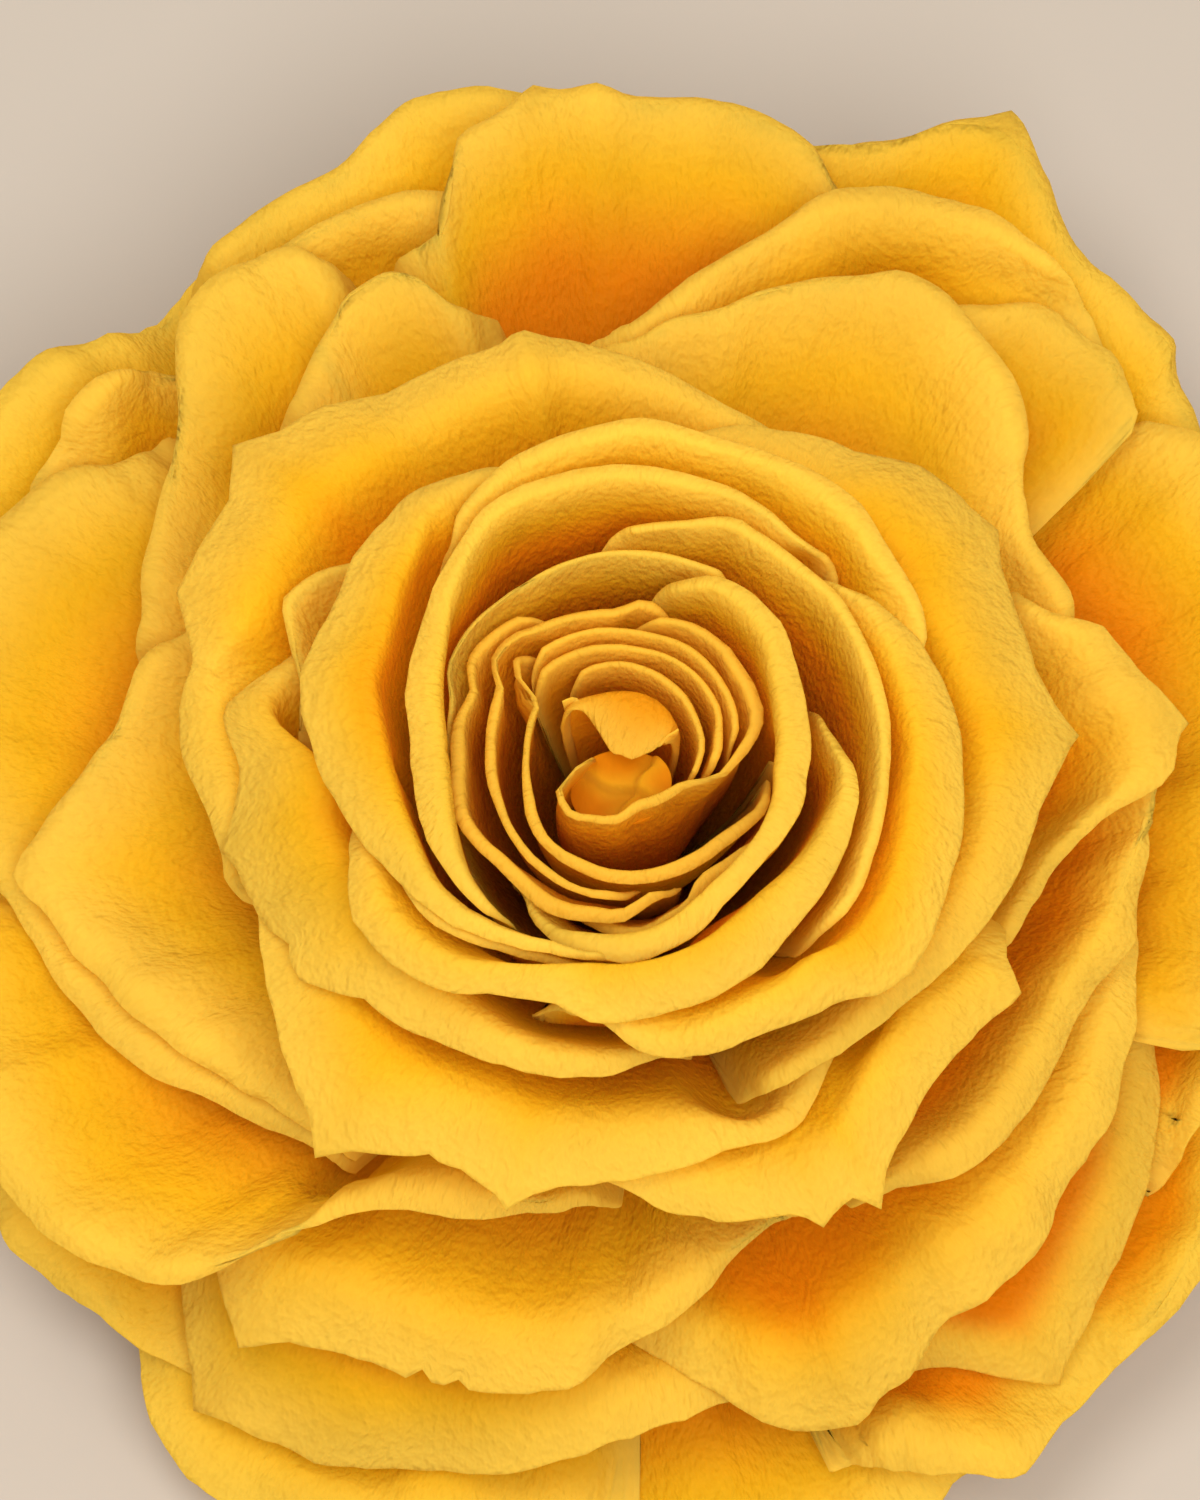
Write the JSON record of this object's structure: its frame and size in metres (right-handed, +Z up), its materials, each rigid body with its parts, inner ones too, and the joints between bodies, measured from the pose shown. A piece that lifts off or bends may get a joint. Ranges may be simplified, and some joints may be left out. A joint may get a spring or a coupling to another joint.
{
  "type": "preserved rose",
  "caption": "Wide-open preserved rose head with layered petals rolled and crinkled at their rims, on a small hip with reflexed sepals and a short cut stem.",
  "frame": {"origin": "under the middle of the head's bounding box, level with the cut end of the stem and the sepal tips that it stands on; the upright bloom axis passes through x 0.4 mm, y -3.9 mm", "axes": "+Z up along the bloom axis, out of the open face; +Y towards the side where the outer petals spread widest; +X to the right when +Y points away"},
  "size_m": [0.0956, 0.0996, 0.0512],
  "materials": {
    "heart_petals": "soft matte, waxy where it folds",
    "bowl_petals": "soft matte with a finely crinkled rim",
    "open_petals": "soft matte with a finely crinkled rim",
    "wide_petals": "soft matte with a finely crinkled rim",
    "guard_petals": "soft matte, a little duller than the inner petals",
    "hip": "matt green, glycerine-softened",
    "sepals": "matt green",
    "stem": "matt green with a pale cut end"
  },
  "bodies": {
    "root": {"bowl_petal_1": "bowl_petals", "bowl_petal_2": "bowl_petals", "bowl_petal_3": "bowl_petals", "bowl_petal_4": "bowl_petals", "bowl_petal_5": "bowl_petals", "bowl_petal_6": "bowl_petals", "bowl_petal_7": "bowl_petals", "bowl_petal_8": "bowl_petals", "bowl_petal_9": "bowl_petals", "guard_petal_1": "guard_petals", "guard_petal_10": "guard_petals", "guard_petal_11": "guard_petals", "guard_petal_12": "guard_petals", "guard_petal_13": "guard_petals", "guard_petal_14": "guard_petals", "guard_petal_15": "guard_petals", "guard_petal_16": "guard_petals", "guard_petal_17": "guard_petals", "guard_petal_18": "guard_petals", "guard_petal_2": "guard_petals", "guard_petal_3": "guard_petals", "guard_petal_4": "guard_petals", "guard_petal_5": "guard_petals", "guard_petal_6": "guard_petals", "guard_petal_7": "guard_petals", "guard_petal_8": "guard_petals", "guard_petal_9": "guard_petals", "heart_petal_1": "heart_petals", "heart_petal_2": "heart_petals", "heart_petal_3": "heart_petals", "heart_petal_4": "heart_petals", "heart_petal_5": "heart_petals", "heart_petal_6": "heart_petals", "heart_petal_7": "heart_petals", "heart_petal_8": "heart_petals", "heart_petal_9": "heart_petals", "hip": "hip", "open_petal_1": "open_petals", "open_petal_2": "open_petals", "open_petal_3": "open_petals", "open_petal_4": "open_petals", "open_petal_5": "open_petals", "open_petal_6": "open_petals", "sepal_1": "sepals", "sepal_2": "sepals", "sepal_3": "sepals", "sepal_4": "sepals", "sepal_5": "sepals", "stem_stub": "stem", "wide_petal_1": "wide_petals", "wide_petal_10": "wide_petals", "wide_petal_2": "wide_petals", "wide_petal_3": "wide_petals", "wide_petal_4": "wide_petals", "wide_petal_5": "wide_petals", "wide_petal_6": "wide_petals", "wide_petal_7": "wide_petals", "wide_petal_8": "wide_petals", "wide_petal_9": "wide_petals"}
  },
  "joints": []
}
